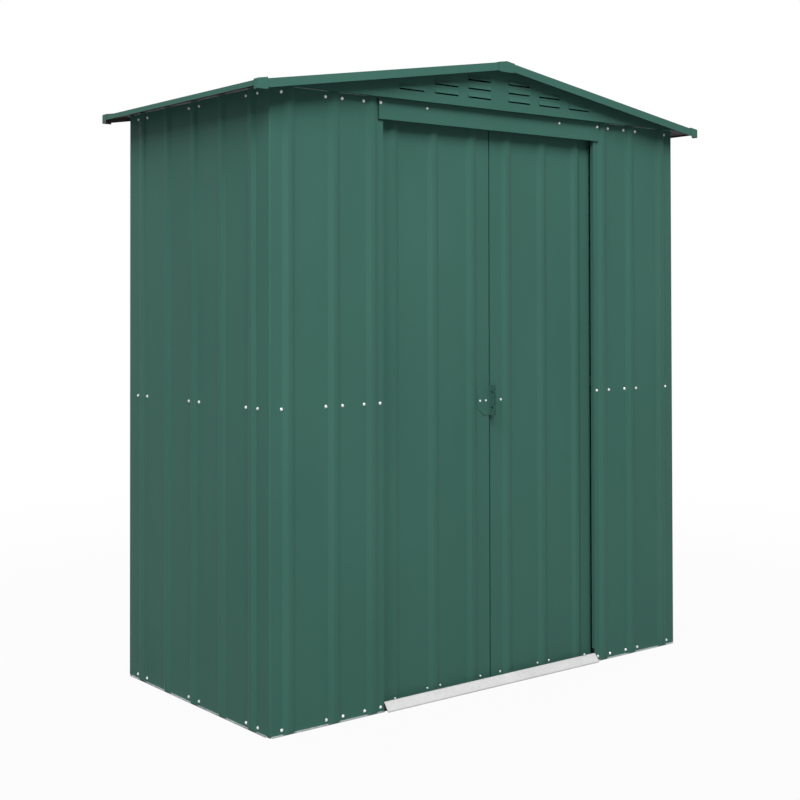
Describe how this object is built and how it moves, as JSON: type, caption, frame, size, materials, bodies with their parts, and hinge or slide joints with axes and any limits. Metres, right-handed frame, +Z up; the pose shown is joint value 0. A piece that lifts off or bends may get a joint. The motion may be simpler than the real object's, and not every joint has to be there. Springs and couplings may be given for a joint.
{
  "type": "metal storage shed",
  "caption": "Low apex garden shed of green ribbed steel sheet, with louvred gables and a pair of sliding doors in the front gable wall.",
  "frame": {"origin": "on the ground at the middle of the footprint, under the ridge", "axes": "+Z up, -Y towards the doors and the viewer, +X to the right seen from the front"},
  "size_m": [1.8806, 0.9276, 1.9757],
  "materials": {
    "wall_sheet": "green paint on thin ribbed steel sheet, satin",
    "trim_sheet": "green paint on folded steel, satin",
    "roof_sheet": "green paint on thin ribbed steel sheet, satin",
    "door_sheet": "green paint on thin ribbed steel sheet, satin",
    "frame_steel": "plain galvanised steel",
    "sill_steel": "plain galvanised steel, light grey",
    "hasp_plate": "green paint on steel plate",
    "runner_plastic": "plain black plastic"
  },
  "bodies": {
    "shed": {"corner_panel_front_left": "wall_sheet", "corner_panel_front_right": "wall_sheet", "corner_panel_back_left": "wall_sheet", "corner_panel_back_right": "wall_sheet", "side_panel_left_back": "wall_sheet", "side_panel_left_front": "wall_sheet", "side_panel_right_back": "wall_sheet", "side_panel_right_front": "wall_sheet", "back_panel_1": "wall_sheet", "back_panel_2": "wall_sheet", "back_panel_3": "wall_sheet", "back_panel_4": "wall_sheet", "back_panel_5": "wall_sheet", "front_panel_left": "wall_sheet", "front_panel_right": "wall_sheet", "jamb_panel_left": "wall_sheet", "jamb_panel_right": "wall_sheet", "gable_front": "wall_sheet", "gable_back": "wall_sheet", "header_fascia": "trim_sheet", "eave_trims": "trim_sheet", "verge_trims": "trim_sheet", "corner_caps": "trim_sheet", "apex_covers": "trim_sheet", "ridge_cap": "trim_sheet", "roof_panel_left_back": "roof_sheet", "roof_panel_left_front": "roof_sheet", "roof_panel_right_back": "roof_sheet", "roof_panel_right_front": "roof_sheet", "base_rails": "frame_steel", "mid_rails": "frame_steel", "top_rails": "frame_steel", "ridge_beam": "frame_steel", "upper_track": "frame_steel", "lower_track": "frame_steel", "door_sill": "sill_steel"},
    "left_door": {"door_left": "door_sheet", "door_rails_left": "frame_steel", "door_runners_left": "runner_plastic", "hasp_left": "hasp_plate"},
    "right_door": {"door_right": "door_sheet", "door_rails_right": "frame_steel", "door_runners_right": "runner_plastic", "door_astragal": "door_sheet", "hasp_right": "hasp_plate"}
  },
  "joints": [
    {"name": "left_door_slide", "type": "slide", "parent": "shed", "child": "left_door", "axis": [-1, 0, 0], "range_m": [0, 0.375]},
    {"name": "right_door_slide", "type": "slide", "parent": "shed", "child": "right_door", "axis": [1, 0, 0], "range_m": [0, 0.375]}
  ]
}
